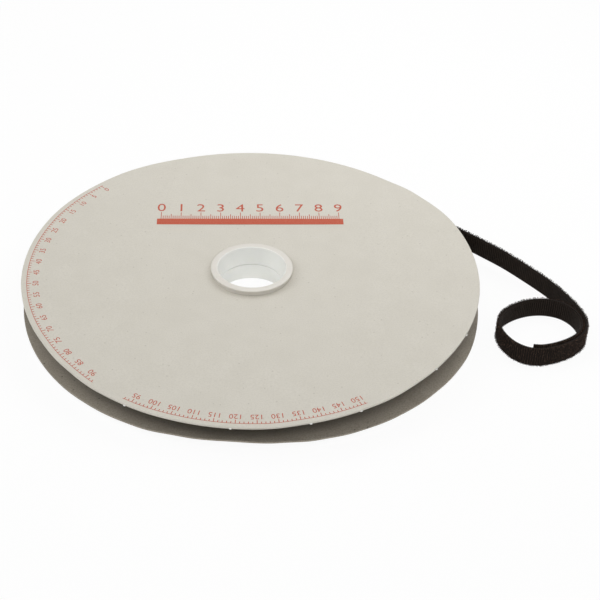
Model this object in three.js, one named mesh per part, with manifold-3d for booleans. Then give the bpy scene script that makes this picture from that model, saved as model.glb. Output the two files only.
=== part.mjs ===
// A roll of narrow back-to-back hook and loop tape on a card-sided reel, lying flat, with the
// tape's free end looped and stuck to itself. Millimetres, +Z up. The origin is on the reel's
// axis, on the surface that the reel lies on.

import * as THREE from 'three';
import { mergeVertices } from 'three/addons/utils/BufferGeometryUtils.js';
import Module from 'manifold-3d';

// Clearances and cuts
const faceGap = 0.3; // between curved or cut faces that touch on the real object
const runningGap = 0.2; // a card's play under a lip or over the core
const overrun = 1; // how far a cutting solid runs past what it cuts

// Tape
const tapeWidth = 10;
const webThickness = 0.6; // one web, hook or loop, of the relaxed tape
const woundTapeThickness = 1.2; // both webs, pressed together by the winding
const windingGap = 0.45; // between neighbouring outer turns
const outerTurnCount = 2;
const woundRadius = 96; // over the outermost turn

// Card flanges
const flangeRadius = 109;
const cardThickness = 0.9;
const tapeSidePlay = 0.6; // between the tape's edge and a card

// Hub
const waistRadius = 15; // the bore at the seam
const spigotWall = 1.2; // the lower half's wall inside the upper half's socket
const socketWall = 1.2; // the upper half's wall round that spigot
const lipReach = 2; // how far the lip stands out past the barrel
const lipHeight = 2.8;
const lipFootReach = 0.7; // how far its foot stands out, from which it flares to its rim
const lipRimWidth = 0.6; // the round on its rim
const lipRimHeight = 0.7;
const mouthFlare = 1.2; // how much the bore widens from the seam to the mouth
const mouthRounding = 0.6;
const spigotHeight = 3.8;
const lugCount = 4;
const lugAngle = 10; // degrees
const lugHeight = 1.3;
const lugReach = 0.8; // how far a lug stands out of the spigot
const lugDrop = 1.2; // from the spigot's rim down to a lug
const windowSidePlay = 0.6; // beside a lug in its window

// Core and the tab that holds the first turn
const coreThickness = 2.8;
const tabThickness = 0.5;
const tabAngle = 70; // degrees
const tabHeight = 8;

// Fineness of the round solids
const discSegments = 128;
const packSegments = 96;
const hubSegments = 72;
const roundingSteps = 4;
const turnSteps = 72;
const tailSteps = 56;
const loopSteps = 72;
const endSteps = 18;
const sectorSteps = 12;
const routeDivisions = 4000; // for measuring along the free tape
const neighbourLength = 7.5; // along a strip, nearer than this counts as the same place

// The tape's route on its centre line, seen from above: x, y and the height of its lower edge.
// It leaves the outermost turn inside the slot, comes down to the surface outside the cards,
// and goes clockwise round the loop.
const tailRoute = [
  [48.3, 82.27, 4.5], [62.4, 73.65, 4.5], [76.6, 64.4, 4.5], [90.6, 54.6, 4.5], [101.6, 46.2, 4.5],
  [109.6, 39.9, 4.35], [117.2, 34.4, 3.6], [125.0, 28.6, 2.7], [132.7, 21.7, 1.75], [140.4, 14.1, 0.9],
  [146.7, 6.9, 0.3], [152.0, -1.5, 0],
];
const loopRoute = [
  [156.1, -10.0, 0], [158.2, -16.6, 0], [158.6, -22.8, 0], [157.2, -28.7, 0], [153.5, -33.7, 0],
  [148.6, -37.7, 0], [142.6, -41.0, 0], [136.0, -43.1, 0], [129.7, -42.8, 0], [124.5, -40.0, 0],
  [120.6, -35.4, 0], [118.0, -29.5, 0], [117.3, -23.2, 0], [119.2, -17.2, 0], [123.3, -12.4, 0],
  [128.9, -8.5, 0], [135.4, -6.0, 0], [142.2, -5.5, 0], [148.5, -7.3, 0], [153.3, -11.5, 0],
  [156.0, -16.9, 0], [156.6, -22.5, 0], [155.35, -27.75, 0],
];
const endRoute = [
  [152.0, -32.4, 0], [147.4, -36.1, 0], [141.8, -39.15, 0], [135.85, -41.1, 0], [131.5, -41.1, 0],
];

// Heights and radii that follow
const slotHeight = tapeWidth + 2 * tapeSidePlay;
const lowerCardBottom = lipHeight + runningGap;
const slotBottom = lowerCardBottom + cardThickness;
const slotTop = slotBottom + slotHeight;
const hubHeight = 2 * slotBottom + slotHeight;
const seamHeight = hubHeight / 2;
const tapeBottom = slotBottom + tapeSidePlay;
const mouthRadius = waistRadius + mouthFlare;
const spigotRadius = waistRadius + spigotWall;
const socketRadius = spigotRadius + faceGap;
const barrelRadius = socketRadius + socketWall;
const lipRadius = barrelRadius + lipReach;
const coreInnerRadius = barrelRadius + faceGap;
const coreRadius = coreInnerRadius + coreThickness;
const packInnerRadius = coreRadius + faceGap;
const turnPitch = woundTapeThickness + windingGap;
const outerTurnRadius = woundRadius - woundTapeThickness / 2;
const innerTurnRadius = outerTurnRadius - outerTurnCount * turnPitch;
const packRadius = innerTurnRadius - woundTapeThickness / 2 - faceGap;
const spigotTop = seamHeight - faceGap / 2;
const skirtBottom = spigotTop - spigotHeight + faceGap;
const lugTop = spigotTop - lugDrop;
const crestInnerRadius = mouthRadius + mouthRounding;
const lipFootRadius = barrelRadius + lipFootReach;
const lipFlareWidth = lipRadius - lipFootRadius;
const lipFlareHeight = lipHeight - lipRimHeight;
const lipCrestRadius = lipRadius - lipRimWidth;
const tapeThickness = 2 * webThickness + faceGap;
const webOffset = (webThickness + faceGap) / 2;

const wasm = await Module();
wasm.setup();

const degrees = Math.PI / 180;

// A geometry with shared vertices and no other data
function weld(geometry) {
  const plain = geometry.clone();
  plain.deleteAttribute('normal');
  plain.deleteAttribute('uv');
  return mergeVertices(plain);
}

// A closed geometry as a solid that can be joined and cut
function toSolid(geometry) {
  const welded = weld(geometry);
  return new wasm.Manifold(new wasm.Mesh({
    numProp: 3,
    vertProperties: new Float32Array(welded.getAttribute('position').array),
    triVerts: new Uint32Array(welded.getIndex().array),
  }));
}

function toGeometry(solid) {
  const result = solid.getMesh();
  const geometry = new THREE.BufferGeometry();
  geometry.setAttribute('position', new THREE.BufferAttribute(new Float32Array(result.vertProperties), 3));
  geometry.setIndex(new THREE.BufferAttribute(new Uint32Array(result.triVerts), 1));
  geometry.computeVertexNormals();
  return geometry;
}

// A profile of [radius, height] points, anticlockwise, turned about the reel's axis
function turned(profile, segments) {
  const points = profile.map(([radius, height]) => new THREE.Vector2(radius, height));
  points.push(points[0].clone());
  const geometry = new THREE.LatheGeometry(points, segments);
  geometry.rotateX(Math.PI / 2);
  return weld(geometry);
}

// A plain ring between two radii and two heights
function ring(innerRadius, outerRadius, bottom, top, segments) {
  return turned([
    [innerRadius, bottom], [outerRadius, bottom], [outerRadius, top], [innerRadius, top],
  ], segments);
}

// Points of a quarter round, wide by high, from one angle to another in degrees
function quarterRound(wide, high, centreRadius, centreHeight, fromAngle, toAngle) {
  const points = [];
  for (let step = 0; step <= roundingSteps; step += 1) {
    const angle = (fromAngle + ((toAngle - fromAngle) * step) / roundingSteps) * degrees;
    points.push([centreRadius + wide * Math.cos(angle), centreHeight + high * Math.sin(angle)]);
  }
  return points;
}

// A piece of a ring, between two radii, over an angle in degrees
function ringSector(innerRadius, outerRadius, middleAngle, wideAngle, bottom, height) {
  const start = (middleAngle - wideAngle / 2) * degrees;
  const end = (middleAngle + wideAngle / 2) * degrees;
  const outline = new THREE.Shape();
  outline.absarc(0, 0, outerRadius, start, end, false);
  outline.absarc(0, 0, innerRadius, end, start, true);
  const geometry = new THREE.ExtrudeGeometry(outline, {
    depth: height, bevelEnabled: false, curveSegments: sectorSteps,
  });
  geometry.translate(0, 0, bottom);
  return geometry;
}

// Hub: the upper half, with a socket below the seam and a window for each lug
function upperHub() {
  const lipBottom = hubHeight - lipHeight;
  const body = turned([
    [waistRadius, seamHeight + faceGap / 2],
    [socketRadius, seamHeight + faceGap / 2],
    [socketRadius, skirtBottom],
    [barrelRadius, skirtBottom],
    [barrelRadius, lipBottom],
    ...quarterRound(lipFlareWidth, lipFlareHeight, lipRadius, lipBottom, 180, 90).slice(0, -1),
    ...quarterRound(lipRimWidth, lipRimHeight, lipCrestRadius, hubHeight - lipRimHeight, 0, 90),
    ...quarterRound(mouthRounding, mouthRounding, crestInnerRadius, hubHeight - mouthRounding, 90, 180),
  ], hubSegments);
  const windowAngle = lugAngle + (2 * windowSidePlay) / spigotRadius / degrees;
  let solid = toSolid(body);
  for (let lug = 0; lug < lugCount; lug += 1) {
    solid = solid.subtract(toSolid(ringSector(
      socketRadius - overrun, barrelRadius + overrun, (lug * 360) / lugCount, windowAngle,
      lugTop - lugHeight - faceGap, lugHeight + 2 * faceGap,
    )));
  }
  return toGeometry(solid);
}

// Hub: the lower half, whose spigot carries the lugs
function lowerHub() {
  const body = turned([
    ...quarterRound(mouthRounding, mouthRounding, crestInnerRadius, mouthRounding, 180, 270),
    ...quarterRound(lipRimWidth, lipRimHeight, lipCrestRadius, lipRimHeight, 270, 360).slice(0, -1),
    ...quarterRound(lipFlareWidth, lipFlareHeight, lipRadius, lipHeight, 270, 180),
    [barrelRadius, lipHeight],
    [barrelRadius, skirtBottom - faceGap],
    [spigotRadius, skirtBottom - faceGap],
    [spigotRadius, spigotTop],
    [waistRadius, spigotTop],
  ], hubSegments);
  let solid = toSolid(body);
  for (let lug = 0; lug < lugCount; lug += 1) {
    solid = solid.add(toSolid(ringSector(
      (waistRadius + spigotRadius) / 2, spigotRadius + lugReach, (lug * 360) / lugCount, lugAngle,
      lugTop - lugHeight, lugHeight,
    )));
  }
  return toGeometry(solid);
}

// The inner turns, with room in their bore for the tab on the core
function tapePack() {
  const body = ring(packInnerRadius, packRadius, tapeBottom, tapeBottom + tapeWidth, packSegments);
  const pocketAngle = tabAngle + (2 * faceGap) / packInnerRadius / degrees;
  const pocket = ringSector(
    packInnerRadius - overrun, packInnerRadius + tabThickness + faceGap, 0, pocketAngle,
    tapeBottom + (tapeWidth - tabHeight) / 2 - faceGap, tabHeight + 2 * faceGap,
  );
  return toGeometry(toSolid(body).subtract(toSolid(pocket)));
}

function startTab() {
  const bottom = tapeBottom + (tapeWidth - tabHeight) / 2;
  return weld(ringSector(packInnerRadius, packInnerRadius + tabThickness, 0, tabAngle, bottom, tabHeight));
}

// A strip on its edge along stations of { x, y, bottom, leftX, leftY }, where left is the side
// on the left hand of someone who follows it
function strip(stations, thickness, offset) {
  const positions = [];
  for (const station of stations) {
    for (const side of [offset - thickness / 2, offset + thickness / 2]) {
      const x = station.x + station.leftX * side;
      const y = station.y + station.leftY * side;
      positions.push(x, y, station.bottom, x, y, station.bottom + tapeWidth);
    }
  }
  const indices = [];
  const quad = (a, b, c, d) => indices.push(a, b, c, a, c, d);
  const corners = 4; // at each station
  const last = (stations.length - 1) * corners;
  for (let base = 0; base < last; base += corners) {
    const next = base + corners;
    quad(base, next, next + 1, base + 1); // right face
    quad(base + 2, base + 3, next + 3, next + 2); // left face
    quad(base + 1, next + 1, next + 3, base + 3); // upper edge
    quad(base, base + 2, next + 2, next); // lower edge
  }
  quad(0, 1, 3, 2);
  quad(last, last + 2, last + 3, last + 1);
  const geometry = new THREE.BufferGeometry();
  geometry.setAttribute('position', new THREE.BufferAttribute(new Float32Array(positions), 3));
  geometry.setIndex(indices);
  return geometry;
}

// Stations evenly along a smooth curve between two distances from its start
function stationsAlong(curve, from, to, steps) {
  const length = curve.getLength();
  const stations = [];
  for (let step = 0; step <= steps; step += 1) {
    const share = (from + ((to - from) * step) / steps) / length;
    const point = curve.getPointAt(share);
    const heading = curve.getTangentAt(share);
    const level = Math.hypot(heading.x, heading.y);
    stations.push({
      x: point.x, y: point.y, bottom: point.z, leftX: -heading.y / level, leftY: heading.x / level,
    });
  }
  return stations;
}

// The outer turns, a spiral that opens clockwise and ends where the tail starts
function outerTurnStations() {
  const [endX, endY] = tailRoute[0];
  const endAngle = Math.atan2(endY, endX) + faceGap / outerTurnRadius;
  const steps = outerTurnCount * turnSteps;
  const stations = [];
  for (let step = 0; step <= steps; step += 1) {
    const angle = endAngle + (2 * Math.PI * (steps - step)) / turnSteps;
    const radius = innerTurnRadius + (turnPitch * step) / turnSteps;
    stations.push({
      x: radius * Math.cos(angle), y: radius * Math.sin(angle), bottom: tapeBottom,
      leftX: Math.cos(angle), leftY: Math.sin(angle),
    });
  }
  return stations;
}

function levelDistance(one, other) {
  return Math.hypot(other.x - one.x, other.y - one.y);
}

// The least gap of a strip to itself, between stations that aren't neighbours along it
function leastGap(stations, thickness) {
  let least = Infinity;
  for (let first = 0; first < stations.length; first += 1) {
    let along = 0;
    for (let second = first + 1; second < stations.length; second += 1) {
      along += levelDistance(stations[second - 1], stations[second]);
      if (along > neighbourLength) {
        least = Math.min(least, levelDistance(stations[first], stations[second]) - thickness);
      }
    }
  }
  return least;
}

const outerTurns = outerTurnStations();
const route = [...tailRoute, ...loopRoute, ...endRoute].map(([x, y, z]) => new THREE.Vector3(x, y, z));
const freeCurve = new THREE.CatmullRomCurve3(route, false, 'centripetal');
freeCurve.arcLengthDivisions = routeDivisions;
const freeLength = freeCurve.getLength();

// The distance along the free tape at which it passes one of its route's points
function lengthTo(pointNumber) {
  const lengths = freeCurve.getLengths();
  return lengths[Math.round(((lengths.length - 1) * pointNumber) / (route.length - 1))];
}

const loopStart = lengthTo(tailRoute.length);
const endStart = lengthTo(tailRoute.length + loopRoute.length);
const tailStations = stationsAlong(freeCurve, 0, loopStart - faceGap / 2, tailSteps);
const loopStations = stationsAlong(freeCurve, loopStart + faceGap / 2, endStart - faceGap / 2, loopSteps);
const endStations = stationsAlong(freeCurve, endStart + faceGap / 2, freeLength, endSteps);

const loopAndEnd = [...loopStations, ...endStations];
console.log(`outer turns: least gap ${leastGap(outerTurns, woundTapeThickness).toFixed(2)} mm`);
console.log(`loop and end: least gap ${leastGap(loopAndEnd, tapeThickness).toFixed(2)} mm`);
console.log(`free tape: ${freeLength.toFixed(0)} mm`);
console.log(`loop from ${loopStart.toFixed(1)} mm, end from ${endStart.toFixed(1)} mm`);

// Materials
const whitePlastic = { color: 0xe4e4df, roughness: 0.35, metalness: 0 };
const greyCard = { color: 0xd0ccc2, roughness: 0.85, metalness: 0 };
const brownBoard = { color: 0x9b8a6c, roughness: 0.9, metalness: 0 };
const clearFilm = { color: 0xd9d4c0, roughness: 0.3, metalness: 0 };
const blackHooks = { color: 0x2a2522, roughness: 0.6, metalness: 0 };
const blackPile = { color: 0x1f1b19, roughness: 0.95, metalness: 0 };

const group = new THREE.Group();

function addPiece(name, geometry, finish) {
  geometry.computeVertexNormals();
  const mesh = new THREE.Mesh(geometry, new THREE.MeshStandardMaterial(finish));
  mesh.name = name;
  group.add(mesh);
}

addPiece('hub_lower', lowerHub(), whitePlastic);
addPiece('hub_upper', upperHub(), whitePlastic);
addPiece('core_tube', ring(
  coreInnerRadius, coreRadius, slotBottom + runningGap, slotTop - runningGap, hubSegments,
), brownBoard);
addPiece('start_tab', startTab(), clearFilm);
addPiece('tape_pack', tapePack(), blackPile);
addPiece('bottom_flange', ring(
  coreInnerRadius, flangeRadius, lowerCardBottom, slotBottom, discSegments,
), greyCard);
addPiece('top_flange', ring(
  coreInnerRadius, flangeRadius, slotTop, slotTop + cardThickness, discSegments,
), greyCard);
addPiece('tape_outer_turns', strip(outerTurns, woundTapeThickness, 0), blackPile);
for (const [name, stations] of [['tail', tailStations], ['loop', loopStations], ['end', endStations]]) {
  addPiece(`${name}_hook_web`, strip(stations, webThickness, -webOffset), blackHooks);
  addPiece(`${name}_loop_web`, strip(stations, webThickness, webOffset), blackPile);
}

export default group;
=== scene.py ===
"""A roll of narrow hook and loop tape on a card-sided reel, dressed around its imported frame."""
import math
import random

import bmesh
import bpy
from mathutils import Matrix, Vector, noise


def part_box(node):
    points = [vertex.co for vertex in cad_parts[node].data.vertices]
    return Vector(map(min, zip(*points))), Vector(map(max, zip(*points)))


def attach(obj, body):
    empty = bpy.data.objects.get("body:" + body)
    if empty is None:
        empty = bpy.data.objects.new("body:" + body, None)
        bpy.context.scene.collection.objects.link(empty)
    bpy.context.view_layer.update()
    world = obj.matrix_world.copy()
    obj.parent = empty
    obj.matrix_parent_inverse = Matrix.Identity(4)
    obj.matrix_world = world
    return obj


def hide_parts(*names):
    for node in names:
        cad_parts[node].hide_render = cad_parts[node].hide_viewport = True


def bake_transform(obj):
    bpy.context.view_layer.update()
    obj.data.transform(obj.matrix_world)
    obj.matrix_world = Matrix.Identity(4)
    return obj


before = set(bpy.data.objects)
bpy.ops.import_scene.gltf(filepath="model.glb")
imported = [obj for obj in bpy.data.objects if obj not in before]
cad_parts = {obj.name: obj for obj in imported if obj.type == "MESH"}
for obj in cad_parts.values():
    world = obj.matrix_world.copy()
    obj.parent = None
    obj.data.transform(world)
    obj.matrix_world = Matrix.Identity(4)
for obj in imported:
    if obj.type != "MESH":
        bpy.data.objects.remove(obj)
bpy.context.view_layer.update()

mm = 0.001

# Camera: where the photo was taken from, in metres and degrees
camera_place = (0.02355, -0.53955, 0.41280)
camera_pitch_down = 37.4205
camera_roll = 2.0331
camera_lens_mm = 83.66
camera_clip_start = 0.01

# Floor, room and lamps, in metres and watts
floor_half_size = 10
floor_colour = (0.92, 0.92, 0.91, 1)
floor_glow_share = 0.93
room_strength = 0.1
lamps = (  # name, place, size and power
    ("lamp_left", (-1.2, 0.1, 0.9), 1, 8.8),
    ("lamp_right", (1.2, -0.05, 0.9), 1, 5),
    ("lamp_above", (0.1, 0.22, 0.36), 0.4, 0.74),
    ("lamp_front", (0, -2.2, 2.3), 2, 47),
)

# Tape
tape_width = 10 * mm
web_thickness = 0.9 * mm  # the backing of both faces together, without hooks and pile
wound_thickness = 1.2 * mm
web_edge_round = 0.15 * mm
web_step = 1 * mm  # between the free web's cross sections
turn_step = 4 * mm  # between the wound web's
column_pitch = 1.05 * mm  # hooks and pile stand in columns across the tape
rib_width = 0.45 * mm
rib_height = 0.15 * mm
rib_margin = 0.25 * mm  # from a rib's end to the tape's edge
hooks_per_column = 12
hook_radius = 0.09 * mm
hook_stem = 0.2 * mm
hook_crook = 0.15 * mm
hook_turn = 165  # degrees
hook_sides = 4
hook_bends = 3
hook_tip_share = 0.6  # its tip's size, of its stem's
loops_per_column = 14
columns_per_patch = 12
patch_kinds = 4
pile_height = (0.35 * mm, 0.75 * mm)
pile_span = (0.32 * mm, 0.52 * mm)
pile_fibre_share = 0.17  # a fibre's radius, of its loop's size
pile_edge_reach = 0.25 * mm  # how far the pile stands over the tape's edges
pile_jitter_share = 0.1  # along the tape, of the columns' pitch
pile_row_jitter_share = 0.35  # across it, of the rows' pitch
pile_turn_spread = 0.3  # radians, as all spreads
pile_lean_spread = 0.35
fibre_sides = 3
fibre_bends = 4
ends_per_column = 2  # broken fibres that lean over each of the pile's edges
end_length = (0.25 * mm, 0.8 * mm)
end_radius = 0.25 * mm
end_tip_share = 0.55  # its tip's radius, of its root's
end_lean = 65  # degrees
end_lean_spread = 0.4
end_jitter = 0.25  # along the tape, of the columns' pitch
slot_reach = 0.15 * mm  # the most by which fibres stand over the tape's edges between the cards
full_reach = 0.7 * mm  # out of the backing, where hooks and pile have their tips' colour, clear of the painted shade at their roots
pressed_pile_share = 0.5  # of its height, on the wound turns
wound_column_share = 1.5  # the wound turns' column pitch, of the free tape's

# The wound turns' spiral
outer_turn_radius = 95.4 * mm
turn_pitch = 1.65 * mm
outer_turn_count = 2
inner_turn_pitch = 1.1 * mm
layer_groove = 0.25 * mm  # between the inner turns' edges
pack_segments = 120
pack_play = 0.3 * mm  # round the core and the tab
pocket_play_angle = 2  # degrees

# The free tape's route, seen from above: x, y and the height of its lower edge, in metres
tail_route = [
    (0.0483, 0.08227, 0.0045), (0.0624, 0.07365, 0.0045), (0.0766, 0.0644, 0.0045),
    (0.0906, 0.0546, 0.0045), (0.1016, 0.0462, 0.0045), (0.1096, 0.0399, 0.00435),
    (0.1172, 0.0344, 0.0036), (0.1250, 0.0286, 0.0027), (0.1327, 0.0217, 0.00175),
    (0.1404, 0.0141, 0.0009), (0.1467, 0.0069, 0.0003), (0.1520, -0.0015, 0),
]
loop_route = [
    (0.1561, -0.0100, 0), (0.1582, -0.0166, 0), (0.1586, -0.0228, 0), (0.1572, -0.0287, 0),
    (0.1535, -0.0337, 0), (0.1486, -0.0377, 0), (0.1426, -0.0410, 0), (0.1360, -0.0431, 0),
    (0.1297, -0.0428, 0), (0.1245, -0.0400, 0), (0.1206, -0.0354, 0), (0.1180, -0.0295, 0),
    (0.1173, -0.0232, 0), (0.1192, -0.0172, 0), (0.1233, -0.0124, 0), (0.1289, -0.0085, 0),
    (0.1354, -0.0060, 0), (0.1422, -0.0055, 0), (0.1485, -0.0073, 0), (0.1533, -0.0115, 0),
    (0.1560, -0.0169, 0), (0.1566, -0.0225, 0), (0.15535, -0.02775, 0.0001),
]
end_route = [
    (0.1520, -0.0324, 0.0002), (0.1474, -0.0361, 0.0003), (0.1418, -0.03915, 0.0004),
    (0.13585, -0.0411, 0.0005), (0.1315, -0.0411, 0.0005),
]
wound_height = tail_route[0][2]  # of the wound tape's lower edge
route_steps = 40  # in each span
route_spacing = 0.2 * mm

# Cards
card_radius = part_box("top_flange")[1].x
card_bore_radius = 18 * mm
card_segments = 360
card_edge_round = 0.12 * mm
card_rings = 8  # across a card's warped part
upper_card_flat_radius = 40 * mm  # outside it the card is warped
lower_card_flat_radius = 94 * mm
upper_card_lifts = (  # of the warped rim, in millimetres, at angles in degrees
    (0, 1.6), (25, 2.4), (42, 1.1), (53, 0), (108, -0.1), (135, 1.3), (160, 2.1), (178, 2), (195, 2.4),
    (212, 2.1), (222, 1), (235, -0.4), (250, -0.95), (276, -1.15), (286, -0.4), (304, 0.1), (318, 1.3),
    (330, 1.9), (345, 1.6),
)
lower_card_lifts = (
    (25, 0), (200, 0), (222, 0.2), (234, 0.8), (246, 1.5), (257, 3), (268, 3.8), (279, 2.8),
    (288, 1.6), (297, 0.7), (308, 0), (320, -0.6), (330, -1.5), (342, -2.4), (360, -1.2),
)
lower_card_reaches = (  # how far its rim stands out, as the lifts
    (60, 0), (180, 0), (215, 0.25), (240, 0.15), (300, 0.25), (322, 0.35), (340, 0.8),
)
nib_angles = (95, 143, 243, 268, 286, 298, 321, 336)  # where the card was held in its sheet
nib_size = (0.7 * mm, 0.65 * mm, 0.25 * mm)
nib_roughness = 0.45
nib_lump_scale = 2
squarely_inside = 0.9  # the cosine at which a face looks into the slot, and is bare board
inside_or_edge = -0.5  # the same for the lower card, whose edges are rubbed bare too

# Hub
hub_segments = 144
waist_radius = 15 * mm
mouth_radius = 16.2 * mm
mouth_round = 0.6 * mm
spigot_radius = 16.2 * mm
socket_radius = 16.5 * mm
barrel_radius = 17.7 * mm
lip_foot_radius = 19.1 * mm
lip_radius = 19.7 * mm
lip_height = 2.8 * mm
lip_rim_width = 0.6 * mm
lip_rim_height = 0.7 * mm
lip_corner_round = 0.2 * mm
seam_gap = 0.3 * mm
seam_round = 0.2 * mm
spigot_height = 3.8 * mm
lug_count = 4
lug_angle = 10  # degrees
lug_height = 1.3 * mm
lug_reach = 0.8 * mm
lug_drop = 1.2 * mm
window_play = 0.3 * mm
window_play_angle = 4  # degrees
cut_overrun = 1 * mm  # by which a cutter passes the wall that it cuts
round_steps = 8

# Print on the upper card
ink_height = 0.03 * mm
ink_sink = 0.01 * mm
ruler_place = (-3 * mm, 45 * mm)
ruler_turn = 3.6  # degrees
ruler_centimetres = 9
ruler_band_height = 5 * mm
ruler_margin = 2 * mm
tick_width = 0.35 * mm
ruler_tick_heights = (2.8 * mm, 4.2 * mm, 5.8 * mm)  # each millimetre, half and whole centimetre
ruler_digit_size = 9.5 * mm
ruler_digit_gap = 1 * mm
arc_radius = 106.5 * mm
arc_spans = ((140, 232), (242, 300))  # degrees
arc_tick_angle = 1
arc_ticks_to_number = 5
arc_tick_heights = (1.3 * mm, 2.2 * mm)
arc_line_width = 0.25 * mm
arc_digit_size = 4 * mm
arc_digit_gap = 0.4 * mm
digit_height_share = 0.73  # a digit's height, of its type size
digit_curve_steps = 3
merge_distance = 0.001 * mm

# Colours and finishes
liner_board = {
    "Base": (0.63, 0.602, 0.535, 1), "Cloud": (0.545, 0.517, 0.45, 1),
    "Fleck": (0.48, 0.45, 0.39, 1), "Fleck share": 0.25,
}
inside_board = {
    "Cloud": (0.175, 0.153, 0.12, 1), "Fleck": (0.07, 0.06, 0.05, 1), "Fleck share": 0.2,
}
# The bare board's own grey-brown, with painted shade: darker deep between the cards, paler at the rim
# where more light comes in
inside_board_painted_deep_shade = (0.23, 0.205, 0.17, 1)
inside_board_painted_rim_light = (0.375, 0.337, 0.277, 1)
torn_board = {
    "Base": (0.84, 0.83, 0.8, 1), "Cloud": (0.76, 0.74, 0.7, 1),
    "Fleck": (0.6, 0.57, 0.5, 1), "Fleck share": 0.1,
}
tube_board = {
    "Base": (0.36, 0.26, 0.15, 1), "Cloud": (0.29, 0.2, 0.11, 1),
    "Fleck": (0.14, 0.09, 0.05, 1), "Fleck share": 0.2,
}
liner_roughness = 0.75
inside_roughness = 0.85
torn_roughness = 0.95
tube_roughness = 0.9
smooth_relief = 0.02 * mm
rough_relief = 0.04 * mm
hook_plastic_look = (  # root colour, the tape's own dark with painted shade, tip, roughness, relief and gloss
    (0.0135, 0.0098, 0.0072, 1), (0.085, 0.06, 0.045, 1), 0.5, 0.02 * mm, 0.1,
)
pile_yarn_look = ((0.012, 0.0075, 0.0055, 1), (0.18, 0.118, 0.09, 1), 0.9, 0.03 * mm, 0.03)
web_cloth_look = ((0.012, 0.0087, 0.0069, 1), (0.046, 0.035, 0.026, 1), 0.8, 0.03 * mm, 0.1)
white_plastic = (0.89, 0.89, 0.86, 1)
white_plastic_shade = (0.86, 0.865, 0.83, 1)
plastic_roughness = 0.34
plastic_depth_share = 0.2  # of the light that goes into it
plastic_depth_tint = (1, 0.95, 0.85)
plastic_depth = 1.5 * mm
plastic_relief = 0.01 * mm
# The lip's tone, darker and warmer than the bore's white: painted shade for the difference in light
# between lip and bore
lip_painted_shade = (0.659, 0.63, 0.575, 1)
film_clear = (0.72, 0.66, 0.5, 1)
film_cloudy = (0.62, 0.55, 0.4, 1)
film_roughness = 0.3
ink_red = (0.44, 0.075, 0.035, 1)
ink_worn = (0.5, 0.2, 0.13, 1)
ink_roughness = 0.7

# Patterns: how many of their cells lie in a metre, and the range of their values that counts
cloud_scale = 90
cloud_range = (0.35, 0.65)
cloud_share = 0.25
grain_scale = 1500
grain_range = (0.4, 0.9)
fleck_scale = 330
fleck_edge = (0.16, 0.05)
strand_scale = 2200
strand_patch_scale = 450
strand_range = (0.08, 0.4)
flow_scale = 140
flow_range = (0.3, 0.7)
ripple_scale = 900
glue_scale = 300
wear_scale = 2400
wear_range = (0.5, 0.95)

sharp_angle = 35  # degrees, from which an edge is shaded sharp
random_seed = 7


# Meshes


def finished(name, bm, materials):
    """The object of a finished bmesh, smooth but for its sharp edges."""
    limit = math.radians(sharp_angle)
    for face in bm.faces:
        face.smooth = True
    for edge in bm.edges:
        edge.smooth = edge.calc_face_angle(0) < limit
    mesh = bpy.data.meshes.new(name)
    bm.to_mesh(mesh)
    bm.free()
    for material in materials:
        mesh.materials.append(material)
    piece = bpy.data.objects.new(name, mesh)
    bpy.context.scene.collection.objects.link(piece)
    return piece


def mesh_of(bm):
    """The bmesh as a plain mesh, to be copied into others."""
    mesh = bpy.data.meshes.new("template")
    bm.to_mesh(mesh)
    bm.free()
    return mesh


def add_copy(bm, mesh, matrix):
    """Adds a copy of a mesh, placed by a matrix."""
    copy = mesh.copy()
    copy.transform(matrix)
    bm.from_mesh(copy)
    bpy.data.meshes.remove(copy)


def turned(profile, segments, angle=360):
    """A closed profile of (radius, height) points, turned about the reel's axis from angle 0."""
    bm = bmesh.new()
    verts = [bm.verts.new((radius, 0, height)) for radius, height in profile]
    whole = angle == 360
    if whole:
        geometry = verts + [bm.edges.new(pair) for pair in zip(verts, verts[1:] + verts[:1])]
    else:
        face = bm.faces.new(verts)
        geometry = verts + list(face.edges) + [face]
    bmesh.ops.spin(
        bm, geom=geometry, cent=(0, 0, 0), axis=(0, 0, 1), angle=math.radians(angle),
        steps=segments, use_merge=whole,
    )
    bmesh.ops.recalc_face_normals(bm, faces=bm.faces)
    return bm


def quarter_round(wide, high, centre, from_angle, to_angle):
    """Points of a quarter round about a (radius, height) centre, between two angles in degrees."""
    points = []
    for step in range(round_steps + 1):
        angle = math.radians(from_angle + (to_angle - from_angle) * step / round_steps)
        points.append((centre[0] + wide * math.cos(angle), centre[1] + high * math.sin(angle)))
    return points


def ring_sector(inner, outer, bottom, top, middle_angle, wide_angle):
    """A piece of a ring as a bmesh, centred on an angle in degrees."""
    profile = [(inner, bottom), (outer, bottom), (outer, top), (inner, top)]
    bm = turned(profile, round_steps, wide_angle)
    turn = Matrix.Rotation(math.radians(middle_angle - wide_angle / 2), 4, "Z")
    bmesh.ops.transform(bm, matrix=turn, verts=bm.verts)
    return bm


def combine(piece, solids, operation):
    """Joins solids to a piece, or cuts them out of it."""
    for solid in solids:
        tool = finished("tool", solid, [])
        modifier = piece.modifiers.new(operation, "BOOLEAN")
        modifier.operation = operation
        modifier.solver = "EXACT"
        modifier.object = tool
        depsgraph = bpy.context.evaluated_depsgraph_get()
        result = bpy.data.meshes.new_from_object(piece.evaluated_get(depsgraph))
        piece.modifiers.clear()
        piece.data = result
        bpy.data.objects.remove(tool)


# The tape's line


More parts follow.
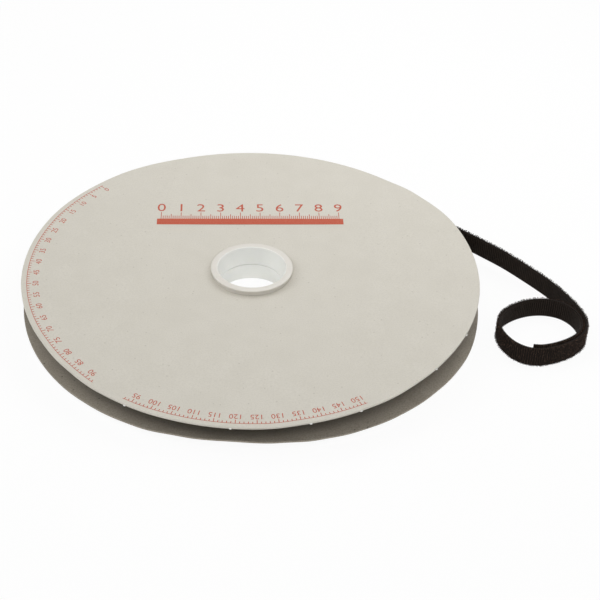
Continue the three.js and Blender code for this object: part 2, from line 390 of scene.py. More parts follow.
def smooth_line(points):
    """Points on the centripetal curve through a route, evenly in each span."""
    points = [Vector(point) for point in points]
    before = 2 * points[0] - points[1]
    after = 2 * points[-1] - points[-2]
    ring = [before, *points, after]
    line = []
    for a, b, c, d in zip(ring, ring[1:], ring[2:], ring[3:]):
        first, middle, last = (math.sqrt((q - p).length) for p, q in ((a, b), (b, c), (c, d)))
        leaving = ((b - a) / first - (c - a) / (first + middle) + (c - b) / middle) * middle
        arriving = ((c - b) / middle - (d - b) / (middle + last) + (d - c) / last) * middle
        for step in range(route_steps):
            t = step / route_steps
            line.append(
                b * (2 * t**3 - 3 * t**2 + 1) + leaving * (t**3 - 2 * t**2 + t)
                + c * (3 * t**2 - 2 * t**3) + arriving * (t**3 - t**2)
            )
    line.append(points[-1])
    return line


def spiral_line():
    """The outer turns' line, clockwise and opening, up to where the tail begins."""
    end_angle = math.atan2(tail_route[0][1], tail_route[0][0])
    steps = int(outer_turn_count * math.tau * outer_turn_radius / turn_step)
    line = []
    for step in range(steps + 1):
        turns_left = outer_turn_count * (steps - step) / steps
        angle = end_angle + math.tau * turns_left
        radius = outer_turn_radius - turn_pitch * turns_left
        line.append(Vector((radius * math.cos(angle), radius * math.sin(angle), wound_height)))
    return line


class TapeLine:
    """A line of the tape's lower edge, resampled evenly, on which flat tape is laid."""

    def __init__(self, points):
        self.distances = [0]
        for one, other in zip(points, points[1:]):
            self.distances.append(self.distances[-1] + (other - one).length)
        self.length = self.distances[-1]
        self.places = []
        span = 0
        for number in range(int(self.length / route_spacing) + 1):
            along = number * route_spacing
            while self.distances[span + 1] < along:
                span += 1
            start, end = self.distances[span:span + 2]
            share = (along - start) / (end - start)
            self.places.append(points[span].lerp(points[span + 1], share))
        headings = [b - a for a, b in zip(self.places, self.places[2:])]
        headings = [headings[0], *headings, headings[-1]]
        self.lefts = [Vector((-h.y, h.x, 0)).normalized() for h in headings]

    def place(self, flat):
        """Where a point of flat tape lies: along it, out to its left and up from its lower edge."""
        at = min(max(flat[0] / route_spacing, 0), len(self.places) - 1)
        number = min(int(at), len(self.places) - 2)
        share = at - number
        centre = self.places[number].lerp(self.places[number + 1], share)
        left = self.lefts[number].lerp(self.lefts[number + 1], share)
        return centre + left * flat[1] + Vector((0, 0, flat[2]))

    def lay(self, bm):
        """Moves a flat tape's points to where they lie, on the surface and clear of the cards."""
        lowest = wound_height - slot_reach
        highest = wound_height + tape_width + slot_reach
        for vert in bm.verts:
            vert.co = self.place(vert.co)
            vert.co.z = max(vert.co.z, 0)
            if vert.co.xy.length < card_radius:
                vert.co.z = min(max(vert.co.z, lowest), highest)


def edges_along(bm):
    """The edges of a flat tape that run along it."""
    found = []
    for edge in bm.edges:
        run = edge.verts[1].co - edge.verts[0].co
        if abs(run.x) > max(abs(run.y), abs(run.z)):
            found.append(edge)
    return found


def flat_web(start, end, thickness, step):
    """The tape's backing, flat, between two distances along it."""
    length = end - start
    bm = bmesh.new()
    bmesh.ops.create_cube(bm, size=1)
    bmesh.ops.scale(bm, vec=(length, thickness, tape_width), verts=bm.verts)
    bmesh.ops.translate(bm, vec=(start + length / 2, 0, tape_width / 2), verts=bm.verts)
    bmesh.ops.bevel(
        bm, geom=edges_along(bm), offset=web_edge_round, affect="EDGES", segments=2, profile=0.5,
        material=-1,
    )
    bmesh.ops.subdivide_edges(bm, edges=edges_along(bm), cuts=int(length / step))
    return bm


def hook_template():
    """One moulded hook on the tape's right face: a square stem that curls over along the tape."""
    bm = bmesh.new()
    made = bmesh.ops.create_circle(bm, cap_ends=True, segments=hook_sides, radius=hook_radius)
    bmesh.ops.rotate(bm, verts=made["verts"], matrix=Matrix.Rotation(math.radians(90), 3, "X"))
    stem = bmesh.ops.extrude_face_region(bm, geom=bm.faces[:])
    stem_end = [item for item in stem["geom"] if isinstance(item, bmesh.types.BMVert)]
    bmesh.ops.translate(bm, vec=(0, -hook_stem, 0), verts=stem_end)
    crook = bmesh.ops.spin(
        bm, geom=stem["geom"], cent=(hook_crook, -hook_stem, 0), axis=(0, 0, 1),
        angle=math.radians(hook_turn), steps=hook_bends,
    )
    tip = [item for item in crook["geom_last"] if isinstance(item, bmesh.types.BMVert)]
    tip_middle = sum((vert.co for vert in tip), Vector()) / len(tip)
    bmesh.ops.scale(
        bm, vec=(hook_tip_share,) * 3, space=Matrix.Translation(-tip_middle), verts=tip,
    )
    bmesh.ops.recalc_face_normals(bm, faces=bm.faces)
    return mesh_of(bm)


def hook_column():
    """A rib across the tape's right face, with its hooks turned to either side in turn."""
    bm = bmesh.new()
    bmesh.ops.create_cube(bm, size=1)
    bmesh.ops.scale(bm, vec=(rib_width, rib_height, tape_width - 2 * rib_margin), verts=bm.verts)
    bmesh.ops.translate(bm, vec=(0, -rib_height / 2, tape_width / 2), verts=bm.verts)
    hook = hook_template()
    for number in range(hooks_per_column):
        height = tape_width * (number + 0.5) / hooks_per_column
        turn = Matrix.Rotation(math.pi * (number % 2), 4, "Y")
        add_copy(bm, hook, Matrix.Translation((0, -rib_height, height)) @ turn)
    bpy.data.meshes.remove(hook)
    return mesh_of(bm)


def flat_hooks(start, end):
    """The hooks of a stretch of flat tape, in columns."""
    bm = bmesh.new()
    column = hook_column()
    count = int((end - start) / column_pitch)
    for number in range(count):
        along = start + (number + 0.5) * (end - start) / count
        add_copy(bm, column, Matrix.Translation((along, -web_thickness / 2, 0)))
    bpy.data.meshes.remove(column)
    return bm


def pile_loop():
    """One fibre loop of the pile, of unit size, standing out to the left."""
    bm = bmesh.new()
    made = bmesh.ops.create_circle(
        bm, cap_ends=True, segments=fibre_sides, radius=pile_fibre_share,
    )
    bmesh.ops.rotate(bm, verts=made["verts"], matrix=Matrix.Rotation(math.radians(90), 3, "X"))
    bmesh.ops.translate(bm, vec=(0, 0, -1), verts=made["verts"])
    bmesh.ops.spin(
        bm, geom=bm.verts[:] + bm.edges[:] + bm.faces[:], cent=(0, 0, 0), axis=(1, 0, 0),
        angle=math.pi, steps=fibre_bends,
    )
    bmesh.ops.recalc_face_normals(bm, faces=bm.faces)
    return mesh_of(bm)


def fibre_end():
    """One broken fibre of unit size, standing out to the left."""
    bm = bmesh.new()
    bmesh.ops.create_cone(
        bm, cap_ends=True, segments=fibre_sides, radius1=1, radius2=end_tip_share, depth=1,
        matrix=Matrix.Rotation(math.radians(-90), 4, "X") @ Matrix.Translation((0, 0, 0.5)),
    )
    return mesh_of(bm)


def pile_patch(draw):
    """A stretch of brushed pile, columns of fibre loops that lean every way."""
    bm = bmesh.new()
    loop = pile_loop()
    broken = fibre_end()
    row_pitch = (tape_width + 2 * pile_edge_reach) / loops_per_column
    for column in range(columns_per_patch):
        for row in range(loops_per_column):
            aside = draw.uniform(-pile_jitter_share, pile_jitter_share)
            above = draw.uniform(-pile_row_jitter_share, pile_row_jitter_share)
            along = (column + 0.5 + aside) * column_pitch
            height = (row + 0.5 + above) * row_pitch - pile_edge_reach
            span = draw.uniform(*pile_span)
            place = Matrix.Translation((along, 0, height))
            turn = Matrix.Rotation(draw.gauss(0, pile_turn_spread), 4, "Y")
            lean = Matrix.Rotation(draw.gauss(0, pile_lean_spread), 4, "Z")
            size = Matrix.Diagonal((span, draw.uniform(*pile_height), span, 1))
            add_copy(bm, loop, place @ turn @ lean @ size)
        for edge, outward in ((0, -end_lean), (tape_width, end_lean)):
            for _ in range(ends_per_column):
                along = (column + 0.5 + draw.gauss(0, end_jitter)) * column_pitch
                place = Matrix.Translation((along, 0, edge))
                over = Matrix.Rotation(math.radians(outward) * draw.random(), 4, "X")
                lean = Matrix.Rotation(draw.gauss(0, end_lean_spread), 4, "Z")
                size = Matrix.Diagonal((end_radius, draw.uniform(*end_length), end_radius, 1))
                add_copy(bm, broken, place @ over @ lean @ size)
    bpy.data.meshes.remove(loop)
    bpy.data.meshes.remove(broken)
    return mesh_of(bm)


def flat_pile(start, end, thickness, pitch_share=1, height_share=1):
    """The pile of a stretch of flat tape, patch after patch."""
    draw = random.Random(random_seed)
    patches = [pile_patch(draw) for _ in range(patch_kinds)]
    patch_length = columns_per_patch * column_pitch
    count = max(1, round((end - start) / (patch_length * pitch_share)))
    stretch = (end - start) / count / patch_length
    bm = bmesh.new()
    for number in range(count):
        place = Matrix.Translation((start + number * stretch * patch_length, thickness / 2, 0))
        size = Matrix.Diagonal((stretch, height_share, 1, 1))
        add_copy(bm, patches[draw.randrange(patch_kinds)], place @ size)
    for patch in patches:
        bpy.data.meshes.remove(patch)
    return bm


# Materials


def put(tree, socket, value):
    """Links a socket to another one, or sets it to a value."""
    if isinstance(value, bpy.types.NodeSocket):
        tree.links.new(value, socket)
    else:
        socket.default_value = value


def add_node(tree, kind, inputs=(), **settings):
    """A new node with its settings, and its inputs given as name and value or socket."""
    node = tree.nodes.new(kind)
    for name, value in settings.items():
        setattr(node, name, value)
    for name, value in dict(inputs).items():
        put(tree, node.inputs[name], value)
    return node


def blend_colours(tree, share, first, second):
    """The colour between two colours."""
    node = tree.nodes.new("ShaderNodeMix")
    node.data_type = "RGBA"
    put(tree, node.inputs["Factor"], share)
    put(tree, node.inputs[6], first)
    put(tree, node.inputs[7], second)
    return node.outputs[2]


def noise_value(tree, vector, scale, detail=2):
    """Soft noise between 0 and 1."""
    inputs = {"Vector": vector, "Scale": scale, "Detail": detail}
    return add_node(tree, "ShaderNodeTexNoise", inputs).outputs["Fac"]


def levels(tree, value, low, high):
    """A value stretched so that low comes to 0 and high to 1."""
    inputs = {"Value": value, "From Min": low, "From Max": high}
    return add_node(tree, "ShaderNodeMapRange", inputs).outputs["Result"]


def math_value(tree, operation, first, second):
    """The result of a sum on two values."""
    node = tree.nodes.new("ShaderNodeMath")
    node.operation = operation
    put(tree, node.inputs[0], first)
    put(tree, node.inputs[1], second)
    return node.outputs[0]


def carried(tree, name):
    """The value that a piece's points carry under a name."""
    return add_node(tree, "ShaderNodeAttribute", attribute_name=name).outputs["Fac"]


def new_group(name, inputs, outputs):
    """A node group with named sockets, and its input and output nodes."""
    tree = bpy.data.node_groups.new(name, "ShaderNodeTree")
    for direction, sockets in (("INPUT", inputs), ("OUTPUT", outputs)):
        for socket, kind in sockets:
            tree.interface.new_socket(socket, in_out=direction, socket_type="NodeSocket" + kind)
    return tree, tree.nodes.new("NodeGroupInput").outputs, tree.nodes.new("NodeGroupOutput").inputs


def board_group():
    """Paper board: cloudy tone, fine grain and scattered flecks."""
    tree, given, result = new_group(
        "board_surface",
        [("Vector", "Vector"), ("Base", "Color"), ("Cloud", "Color"), ("Fleck", "Color"),
         ("Fleck share", "Float")],
        [("Color", "Color"), ("Height", "Float")],
    )
    vector = given["Vector"]
    cloud = levels(tree, noise_value(tree, vector, cloud_scale, detail=3), *cloud_range)
    clouded = math_value(tree, "MULTIPLY", cloud, cloud_share)
    grain = noise_value(tree, vector, grain_scale, detail=3)
    toned = blend_colours(tree, clouded, given["Base"], given["Cloud"])
    grained = blend_colours(tree, levels(tree, grain, *grain_range), toned, given["Cloud"])
    cells = add_node(tree, "ShaderNodeTexVoronoi", {"Vector": vector, "Scale": fleck_scale})
    chosen = add_node(tree, "ShaderNodeSeparateColor", {"Color": cells.outputs["Color"]})
    kept = math_value(tree, "LESS_THAN", chosen.outputs[0], given["Fleck share"])
    near = levels(tree, cells.outputs["Distance"], *fleck_edge)
    fleck = math_value(tree, "MULTIPLY", kept, near)
    put(tree, result["Color"], blend_colours(tree, fleck, grained, given["Fleck"]))
    put(tree, result["Height"], grain)
    return tree


def fibre_group():
    """Dark synthetic fibre: darker at its root as painted shade, strand by strand lighter towards its
    tip.
    """
    tree, given, result = new_group(
        "fibre_surface",
        [("Vector", "Vector"), ("Reach", "Float"), ("Root and painted shade", "Color"), ("Tip", "Color")],
        [("Color", "Color"), ("Height", "Float")],
    )
    vector = given["Vector"]
    strand = noise_value(tree, vector, strand_scale)
    patch = noise_value(tree, vector, strand_patch_scale)
    uneven = levels(tree, math_value(tree, "MULTIPLY", strand, patch), *strand_range)
    # Painted shade: the tip colour comes in only with the reach, so the roots stay dark
    share = math_value(tree, "MULTIPLY", given["Reach"], uneven)
    put(tree, result["Color"], blend_colours(tree, share, given["Root and painted shade"], given["Tip"]))
    put(tree, result["Height"], strand)
    return tree


def new_material(name, roughness):
    """A material, with its tree, its shader and its object coordinates."""
    material = bpy.data.materials.new(name)
    material.use_nodes = True
    tree = material.node_tree
    shader = tree.nodes["Principled BSDF"]
    shader.inputs["Roughness"].default_value = roughness
    return material, tree, shader, tree.nodes.new("ShaderNodeTexCoord").outputs["Object"]


def add_bump(tree, shader, height, depth):
    """Surface relief of a depth in metres from a height between 0 and 1."""
    bump = add_node(tree, "ShaderNodeBump", {"Strength": 1, "Distance": depth, "Height": height})
    put(tree, shader.inputs["Normal"], bump.outputs["Normal"])


def grouped_material(name, group, inputs, roughness, relief):
    """A material whose colour and relief come from a node group."""
    material, tree, shader, place = new_material(name, roughness)
    surface = tree.nodes.new("ShaderNodeGroup")
    surface.node_tree = group
    for socket, value in {"Vector": place, **inputs}.items():
        put(tree, surface.inputs[socket], value)
    put(tree, shader.inputs["Base Color"], surface.outputs["Color"])
    add_bump(tree, shader, surface.outputs["Height"], relief)
    return material


def group_inputs(tree):
    """The sockets of the node group in a material."""
    return next(node for node in tree.nodes if node.type == "GROUP").inputs


def tape_material(name, root_and_painted_shade, tip, roughness, relief, gloss):
    """A tape's finish, whose tone follows the reach that its pieces carry: painted shade at the roots,
    lighter at the tips.
    """
    colours = {"Root and painted shade": root_and_painted_shade, "Tip": tip}
    material = grouped_material(name, fibre_surface, colours, roughness, relief)
    tree = material.node_tree
    put(tree, group_inputs(tree)["Reach"], carried(tree, "reach"))
    tree.nodes["Principled BSDF"].inputs["Specular IOR Level"].default_value = gloss
    return material


def inside_material():
    """Bare board with painted shade: dark deep between the cards, paler towards the rim, by a share
    that the cards carry as an attribute.
    """
    material = grouped_material(
        "card_inside", board_surface, inside_board, inside_roughness, rough_relief,
    )
    tree = material.node_tree
    # Painted shade: the board goes from its dark deep colour to its paler rim colour
    base = blend_colours(tree, carried(tree, "rim"), inside_board_painted_deep_shade, inside_board_painted_rim_light)
    put(tree, group_inputs(tree)["Base"], base)
    return material


def hub_material():
    """White moulded plastic, smooth, with the faintest flow marks, and a darker, warmer lip whose tone
    is painted shade against the bore.
    """
    material, tree, shader, place = new_material("white_moulding", plastic_roughness)
    shader.inputs["Subsurface Weight"].default_value = plastic_depth_share
    shader.inputs["Subsurface Radius"].default_value = plastic_depth_tint
    shader.inputs["Subsurface Scale"].default_value = plastic_depth
    flow = levels(tree, noise_value(tree, place, flow_scale), *flow_range)
    wall = blend_colours(tree, flow, white_plastic, white_plastic_shade)
    across = add_node(tree, "ShaderNodeVectorMath", {0: place, 1: (1, 1, 0)}, operation="MULTIPLY")
    radius = add_node(tree, "ShaderNodeVectorMath", {0: across.outputs[0]}, operation="LENGTH")
    # Painted shade: outside the mouth's round, the lip takes the darker tone
    lip_shade_share = levels(tree, radius.outputs["Value"], mouth_radius, mouth_radius + mouth_round)
    put(tree, shader.inputs["Base Color"], blend_colours(tree, lip_shade_share, wall, lip_painted_shade))
    ripple = noise_value(tree, place, ripple_scale, detail=1)
    add_bump(tree, shader, ripple, plastic_relief)
    return material


def film_material():
    """Clear adhesive film with a cloudy coat of glue."""
    material, tree, shader, place = new_material("adhesive_film", film_roughness)
    glue = noise_value(tree, place, glue_scale, detail=3)
    put(tree, shader.inputs["Base Color"], blend_colours(tree, glue, film_clear, film_cloudy))
    return material


def ink_material():
    """Printing ink, thin enough for the board's grain to show."""
    material, tree, shader, place = new_material("red_ink", ink_roughness)
    worn = levels(tree, noise_value(tree, place, wear_scale, detail=3), *wear_range)
    put(tree, shader.inputs["Base Color"], blend_colours(tree, worn, ink_red, ink_worn))
    return material


def board_material(name, colours, roughness, relief):
    """A finish of plain board."""
    return grouped_material(name, board_surface, colours, roughness, relief)


board_surface = board_group()
fibre_surface = fibre_group()
card_liner = board_material("card_liner", liner_board, liner_roughness, smooth_relief)
card_inside = inside_material()
torn_card = board_material("torn_card", torn_board, torn_roughness, rough_relief)
core_board = board_material("core_board", tube_board, tube_roughness, rough_relief)
hook_plastic = tape_material("hook_plastic", *hook_plastic_look)
pile_yarn = tape_material("pile_yarn", *pile_yarn_look)
web_cloth = tape_material("web_cloth", *web_cloth_look)
white_moulding = hub_material()
adhesive_film = film_material()
red_ink = ink_material()


# Stage


def make_camera():
    """The photograph's camera."""
    camera = bpy.data.objects.new("camera", bpy.data.cameras.new("camera"))
    camera.data.lens = camera_lens_mm
    camera.data.clip_start = camera_clip_start
    camera.matrix_world = (
        Matrix.Translation(camera_place)
        @ Matrix.Rotation(math.radians(90 - camera_pitch_down), 4, "X")
        @ Matrix.Rotation(math.radians(camera_roll), 4, "Z")
    )
    bpy.context.scene.collection.objects.link(camera)
    bpy.context.scene.camera = camera


def seen_rays(tree):
    """1 for the rays that show the background: from the camera, or off gloss, or through glass."""
    rays = tree.nodes.new("ShaderNodeLightPath").outputs
    seen = math_value(tree, "MAXIMUM", rays["Is Camera Ray"], rays["Is Glossy Ray"])
    return math_value(tree, "MAXIMUM", seen, rays["Is Transmission Ray"])


def make_floor():
    """A pale floor, all but white to the camera, that keeps a little of the object's shadow."""
    bm = bmesh.new()
    bmesh.ops.create_grid(bm, x_segments=1, y_segments=1, size=floor_half_size)
    floor = finished("floor", bm, [])
    material = bpy.data.materials.new("pale_floor")
    material.use_nodes = True
    tree = material.node_tree
    shader = tree.nodes["Principled BSDF"]
    shader.inputs["Base Color"].default_value = floor_colour
    shader.inputs["Roughness"].default_value = 1
    shader.inputs["Specular IOR Level"].default_value = 0
    glow = add_node(tree, "ShaderNodeEmission", {"Color": (1, 1, 1, 1), "Strength": 1})
    mixed = tree.nodes.new("ShaderNodeMixShader")
    put(tree, mixed.inputs[0], math_value(tree, "MULTIPLY", seen_rays(tree), floor_glow_share))
    put(tree, mixed.inputs[1], shader.outputs[0])
    put(tree, mixed.inputs[2], glow.outputs[0])
    put(tree, tree.nodes["Material Output"].inputs["Surface"], mixed.outputs[0])
    floor.data.materials.append(material)


def make_light():
    """An even white room, and broad soft lamps on every side."""
    world = bpy.data.worlds.new("studio")
    bpy.context.scene.world = world
    world.use_nodes = True
    tree = world.node_tree
    room = tree.nodes["Background"]
    room.inputs["Color"].default_value = (1, 1, 1, 1)
    backdrop = add_node(tree, "ShaderNodeBackground", {"Color": (1, 1, 1, 1), "Strength": 1})
    room.inputs["Strength"].default_value = room_strength
    mixed = tree.nodes.new("ShaderNodeMixShader")
    put(tree, mixed.inputs[0], seen_rays(tree))
    put(tree, mixed.inputs[1], room.outputs[0])
    put(tree, mixed.inputs[2], backdrop.outputs[0])
    put(tree, tree.nodes["World Output"].inputs["Surface"], mixed.outputs[0])
    for name, place, size, watts in lamps:
        lamp = bpy.data.objects.new(name, bpy.data.lights.new(name, "AREA"))
        lamp.data.size = size
        lamp.data.energy = watts
        lamp.location = place
        lamp.rotation_mode = "QUATERNION"
        lamp.rotation_quaternion = (-Vector(place)).to_track_quat("-Z", "Y")
        bpy.context.scene.collection.objects.link(lamp)


make_camera()
make_floor()
make_light()
bpy.context.scene.view_settings.view_transform = "Standard"


# Free tape


free_line = TapeLine(smooth_line(tail_route + loop_route + end_route))
end_start = free_line.distances[(len(tail_route) + len(loop_route)) * route_steps]


def laid(name, bm, line, material, thickness=web_thickness):
    """A piece of tape made flat, laid along a line, its points marked with their reach, which sets the
    painted shade at the roots.
    """
    # Reach 0 at the backing gives the dark root colour, painted shade; 1 at full reach gives the tip
    # colour
    reach = bm.verts.layers.float.new("reach")
    for vert in bm.verts:
        vert[reach] = min(max((abs(vert.co.y) - thickness / 2) / full_reach, 0), 1)
    line.lay(bm)
    return finished(name, bm, [material])


def tape_stretch(name, start, end):
    """A stretch of free tape: backing, hooks on the inner face and pile on the outer one."""
    web = laid(name + "_web", flat_web(start, end, web_thickness, web_step), free_line, web_cloth)
    hooks = laid(name + "_hooks", flat_hooks(start, end), free_line, hook_plastic)
    pile = laid(name + "_pile", flat_pile(start, end, web_thickness), free_line, pile_yarn)
    return web, hooks, pile


def make_free_tape():
    """The tail and the loop, in one."""
    web, hooks, pile = tape_stretch("free_tape", 0, end_start)
    for piece in (web, hooks, pile):
        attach(piece, "free_tape")
    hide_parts("tail_loop_web", "loop_loop_web")
    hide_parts("tail_hook_web", "loop_hook_web")
    return web, hooks, pile


def make_tape_end():
    """The last of the tape, past the loop, which bends away from it when the real tape is peeled off;
    here it is laid along the loop.
    """
    web, hooks, pile = tape_stretch("tape_end", end_start, free_line.length)
    for piece in (web, hooks, pile):
        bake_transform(piece)
    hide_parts("end_loop_web")
    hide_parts("end_hook_web")
    return web, hooks, pile


free_web, free_hooks, free_pile = make_free_tape()
end_pieces = make_tape_end()


# Wound tape


def make_outer_turns():
    """The two outermost turns, whose pile is pressed down."""
    line = TapeLine(spiral_line())
    backing = flat_web(0, line.length, wound_thickness, turn_step)
    web = laid("outer_turns_web", backing, line, web_cloth)
    last_turn = line.length - math.tau * outer_turn_radius
    pressed = flat_pile(
        last_turn, line.length, wound_thickness, wound_column_share, pressed_pile_share,
    )
    pile = laid("outer_turns_pile", pressed, line, pile_yarn, wound_thickness)
    for piece in (web, pile):
        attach(piece, "free_tape")
    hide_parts("tape_outer_turns")


def make_inner_turns():
    """The inner turns: a ring whose edges show its layers, with room for the tab in its bore."""
    pack_low, pack_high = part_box("tape_pack")
    tab_low, tab_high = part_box("start_tab")
    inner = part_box("core_tube")[1].x + pack_play
    outer = pack_high.x
    count = int((outer - inner) / inner_turn_pitch)
    pitch = (outer - inner) / count
    upper = []
    for number in range(count):
        upper.append((outer - pitch * number, pack_high.z - layer_groove))
        upper.append((outer - pitch * (number + 0.5), pack_high.z))
    upper.append((inner, pack_high.z - layer_groove))
    lower = [(radius, pack_low.z + pack_high.z - height) for radius, height in reversed(upper)]
    pack = finished("inner_turns", turned(upper + lower, pack_segments), [web_cloth])
    tab_angle = 2 * math.degrees(math.atan2(tab_high.y, tab_low.x))
    pocket = ring_sector(
        inner - pack_play, tab_high.x + pack_play, tab_low.z - pack_play,
        tab_high.z + pack_play, 0, tab_angle + pocket_play_angle,
    )
    combine(pack, [pocket], "DIFFERENCE")
    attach(pack, "reel")
    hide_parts("tape_pack")


# Cards


def rim_change(angle, changes):
    """How far a rim is moved at an angle, smoothly between the listed angles, if there are any."""
    before = [(at - 360, change) for at, change in changes[-1:]]
    after = [(at + 360, change) for at, change in changes[:1]]
    around = [*before, *changes, *after]
    for (start, low), (end, high) in zip(around, around[1:]):
        if start <= angle <= end:
            share = (1 - math.cos(math.pi * (angle - start) / (end - start))) / 2
            return (low + (high - low) * share) * mm
    return 0


def warp(bm, flat_radius, lifts, reaches=()):
    """Lifts and stretches what lies outside a card's flat part, more and more towards the rim."""
    for vert in bm.verts:
        radius = vert.co.xy.length
        if radius > flat_radius:
            share = ((radius - flat_radius) / (card_radius - flat_radius)) ** 2
            angle = math.degrees(math.atan2(vert.co.y, vert.co.x)) % 360
            stretch = 1 + rim_change(angle, reaches) * share / radius
            vert.co.x *= stretch
            vert.co.y *= stretch
            vert.co.z += rim_change(angle, lifts) * share


def add_nib(bm, angle, height):
    """A tuft of torn fibre on the rim, where the card was held in its sheet."""
    made = bmesh.ops.create_icosphere(bm, subdivisions=2, radius=1)
    for vert in made["verts"]:
        lump = noise.noise(vert.co * nib_lump_scale + Vector((angle, 0, 0)))
        vert.co *= 1 + nib_roughness * lump
    turn = Matrix.Rotation(math.radians(angle), 4, "Z")
    place = Matrix.Translation((card_radius, 0, height))
    size = Matrix.Diagonal((*nib_size, 1))
    bmesh.ops.transform(bm, matrix=turn @ place @ size, verts=made["verts"])


def make_card(name, node, body, flat_radius, lifts, reaches=(), *, inside, bare_from):
    """A card flange: pale liner, and bare board where it looks inside, up (1) or down (-1)."""
    low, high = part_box(node)
    rims = [
        flat_radius + (card_radius - card_edge_round - flat_radius) * step / card_rings
        for step in range(card_rings + 1)
    ]
    profile = [(card_bore_radius, low.z)]
    profile += [(radius, low.z) for radius in rims]
    profile += [(card_radius, low.z + card_edge_round), (card_radius, high.z - card_edge_round)]
    profile += [(radius, high.z) for radius in reversed(rims)]
    profile += [(card_bore_radius, high.z)]
    bm = turned(profile, card_segments)
    for face in bm.faces:
        face.material_index = 1 if face.normal.z * inside > bare_from else 0
    # Painted shade: a share that grows towards the rim and turns the bare board from its dark deep
    # colour to its paler rim colour
    rim = bm.verts.layers.float.new("rim")
    for vert in bm.verts:
        reach = (vert.co.xy.length - flat_radius) / (card_radius - flat_radius)
        vert[rim] = max(reach, 0) ** 2
    warp(bm, flat_radius, lifts, reaches)
    card = finished(name, bm, [card_liner, card_inside])
    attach(card, body)
    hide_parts(node)


def make_nibs(node, body):
    """The upper card's torn tufts."""
    low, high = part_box(node)
    height = (low.z + high.z - nib_size[2]) / 2
    bm = bmesh.new()
    for angle in nib_angles:
        add_nib(bm, angle, height)
    warp(bm, upper_card_flat_radius, upper_card_lifts)
    nibs = finished("card_nibs", bm, [torn_card])
    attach(nibs, body)


# Print


def bar(bm, matrix, left, right, bottom, top):
    """A flat bar of ink, between two places across and two up, placed by a matrix."""
    made = bmesh.ops.create_cube(bm, size=1)
    size = Matrix.Diagonal((right - left, top - bottom, ink_height + ink_sink, 1))
    middle = ((left + right) / 2, (bottom + top) / 2, (ink_height - ink_sink) / 2)
    place = matrix @ Matrix.Translation(middle)
    bmesh.ops.transform(bm, matrix=place @ size, verts=made["verts"])


def number_mesh(text, size):
    """A plain number, centred across, standing on its base line."""
    curve = bpy.data.curves.new("number", "FONT")
    curve.body = text
    curve.size = size
    curve.align_x = "CENTER"
    curve.resolution_u = digit_curve_steps
    curve.extrude = (ink_height + ink_sink) / 2
    carrier = bpy.data.objects.new("number", curve)
    mesh = bpy.data.meshes.new_from_object(carrier)
    bpy.data.objects.remove(carrier)
    bpy.data.curves.remove(curve)
    bm = bmesh.new()
    bm.from_mesh(mesh)
    bmesh.ops.remove_doubles(bm, verts=bm.verts, dist=merge_distance)
    bmesh.ops.translate(bm, vec=(0, 0, (ink_height - ink_sink) / 2), verts=bm.verts)
    bpy.data.meshes.remove(mesh)
    return mesh_of(bm)


def add_number(bm, number, size, matrix):
    """Adds a number, placed by a matrix."""
    mesh = number_mesh(str(number), size)
    add_copy(bm, mesh, matrix)
    bpy.data.meshes.remove(mesh)


def add_ruler(bm, height):
    """A straight centimetre scale on a solid band."""
    length = ruler_centimetres * 10 * mm
    turn = Matrix.Rotation(math.radians(ruler_turn), 4, "Z")
    place = Matrix.Translation((*ruler_place, height)) @ turn
    band_end = length / 2 + ruler_margin
    bar(bm, place, -band_end, band_end, -ruler_band_height, 0)
    for millimetre in range(ruler_centimetres * 10 + 1):
        across = millimetre * mm - length / 2
        kind = 2 if millimetre % 10 == 0 else 1 if millimetre % 5 == 0 else 0
        tick = ruler_tick_heights[kind]
        bar(bm, place, across - tick_width / 2, across + tick_width / 2, 0, tick)
        if kind == 2:
            foot = Matrix.Translation((across, tick + ruler_digit_gap, 0))
            add_number(bm, millimetre // 10, ruler_digit_size, place @ foot)


def add_arc_scale(bm, height):
    """A numbered scale along the rim, its numbers upright when read from the middle."""
    half_chord = arc_radius * math.radians(arc_tick_angle) / 2
    count = 0
    for start, end in arc_spans:
        for angle in range(start, end + 1, arc_tick_angle):
            turn = Matrix.Rotation(math.radians(angle - 90), 4, "Z")
            place = Matrix.Translation((0, 0, height)) @ turn
            numbered = count % arc_ticks_to_number == 0
            tick = arc_tick_heights[1 if numbered else 0]
            bar(bm, place, -tick_width / 2, tick_width / 2, arc_radius - tick, arc_radius)
            bar(bm, place, -half_chord, half_chord, arc_radius - arc_line_width, arc_radius)
            if numbered:
                foot = arc_radius - tick - arc_digit_gap - arc_digit_size * digit_height_share
                add_number(bm, count, arc_digit_size, place @ Matrix.Translation((0, foot, 0)))
            count += 1


def make_print(node, body):
    """The red scales on the upper card."""
    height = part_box(node)[1].z
    bm = bmesh.new()
    add_ruler(bm, height)
    add_arc_scale(bm, height)
    warp(bm, upper_card_flat_radius, upper_card_lifts)
    print_piece = finished("card_print", bm, [red_ink])
    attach(print_piece, body)


# Hub


def upper_lip(top):
    """A lip that flares from its foot on the card to a rounded rim."""
    flare = (lip_radius - lip_corner_round - lip_foot_radius, lip_height - lip_rim_height)
    corner = (lip_radius - lip_corner_round, top - lip_rim_height + lip_corner_round)
    rim = (lip_radius - lip_rim_width, top - lip_rim_height + lip_corner_round)
    return [
        *quarter_round(*flare, (corner[0], top - lip_height), 180, 90)[:-1],
        *quarter_round(lip_corner_round, lip_corner_round, corner, 270, 360)[:-1],
        *quarter_round(lip_rim_width, lip_rim_height - lip_corner_round, rim, 0, 90),
    ]


def upper_hub_profile(top, seam):
    """The upper half's outline: seam, socket, barrel, rounded lip and the bore's flared mouth."""
    crest_radius = mouth_radius + mouth_round
    skirt_bottom = seam + seam_gap / 2 - spigot_height
    edge = (waist_radius + seam_round, seam + seam_gap / 2 + seam_round)
    return [
        *quarter_round(seam_round, seam_round, edge, 180, 270),
        (socket_radius, seam + seam_gap / 2),
        (socket_radius, skirt_bottom),
        (barrel_radius, skirt_bottom),
        (barrel_radius, top - lip_height),
        *upper_lip(top),
        *quarter_round(mouth_round, mouth_round, (crest_radius, top - mouth_round), 90, 180),
    ]


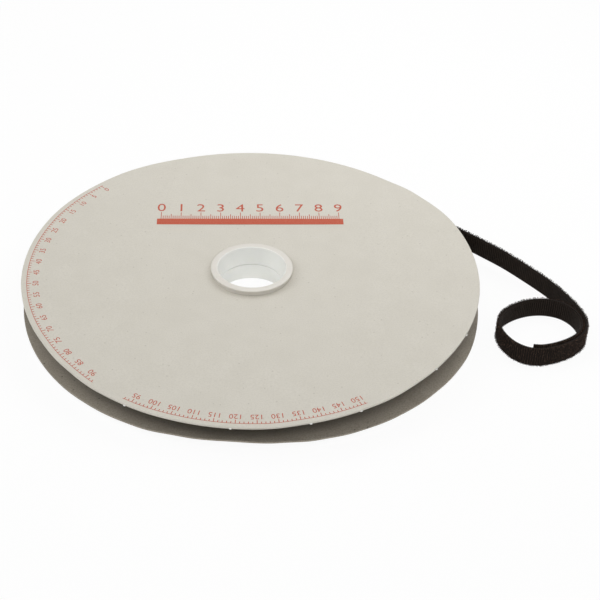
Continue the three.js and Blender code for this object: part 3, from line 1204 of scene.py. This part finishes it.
def lower_hub_profile(top, seam):
    """The lower half's outline: the same lip, and a spigot that stands in the upper socket."""
    crest_radius = mouth_radius + mouth_round
    spigot_top = seam - seam_gap / 2
    shoulder = spigot_top - spigot_height
    edge = (waist_radius + seam_round, spigot_top - seam_round)
    return [
        *quarter_round(mouth_round, mouth_round, (crest_radius, mouth_round), 180, 270),
        *[(radius, top - height) for radius, height in reversed(upper_lip(top))],
        (barrel_radius, lip_height),
        (barrel_radius, shoulder),
        (spigot_radius, shoulder),
        (spigot_radius, spigot_top),
        *quarter_round(seam_round, seam_round, edge, 90, 180),
    ]


def make_hub():
    """The two snap-fit halves, the lower one's lugs in the upper one's windows."""
    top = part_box("hub_upper")[1].z
    seam = top / 2
    lug_top = seam - seam_gap / 2 - lug_drop
    angles = [360 * number / lug_count for number in range(lug_count)]
    upper_shell = turned(upper_hub_profile(top, seam), hub_segments)
    upper = finished("hub_upper_half", upper_shell, [white_moulding])
    combine(upper, [
        ring_sector(
            socket_radius - cut_overrun, barrel_radius + cut_overrun,
            lug_top - lug_height - window_play, lug_top + window_play, angle,
            lug_angle + window_play_angle,
        )
        for angle in angles
    ], "DIFFERENCE")
    lower_shell = turned(lower_hub_profile(top, seam), hub_segments)
    lower = finished("hub_lower_half", lower_shell, [white_moulding])
    combine(lower, [
        ring_sector(
            (waist_radius + spigot_radius) / 2, spigot_radius + lug_reach, lug_top - lug_height,
            lug_top, angle, lug_angle,
        )
        for angle in angles
    ], "UNION")
    for piece, node in ((upper, "hub_upper"), (lower, "hub_lower")):
        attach(piece, "reel")
        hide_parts(node)


# The object


make_outer_turns()
make_inner_turns()
make_card(
    "upper_card", "top_flange", "top_card", upper_card_flat_radius, upper_card_lifts,
    inside=-1, bare_from=squarely_inside,
)
make_nibs("top_flange", "top_card")
make_print("top_flange", "top_card")
make_card(
    "lower_card", "bottom_flange", "bottom_card", lower_card_flat_radius, lower_card_lifts,
    lower_card_reaches, inside=1, bare_from=inside_or_edge,
)
make_hub()
for node, material in (("core_tube", core_board), ("start_tab", adhesive_film)):
    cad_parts[node].data.materials.clear()
    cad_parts[node].data.materials.append(material)
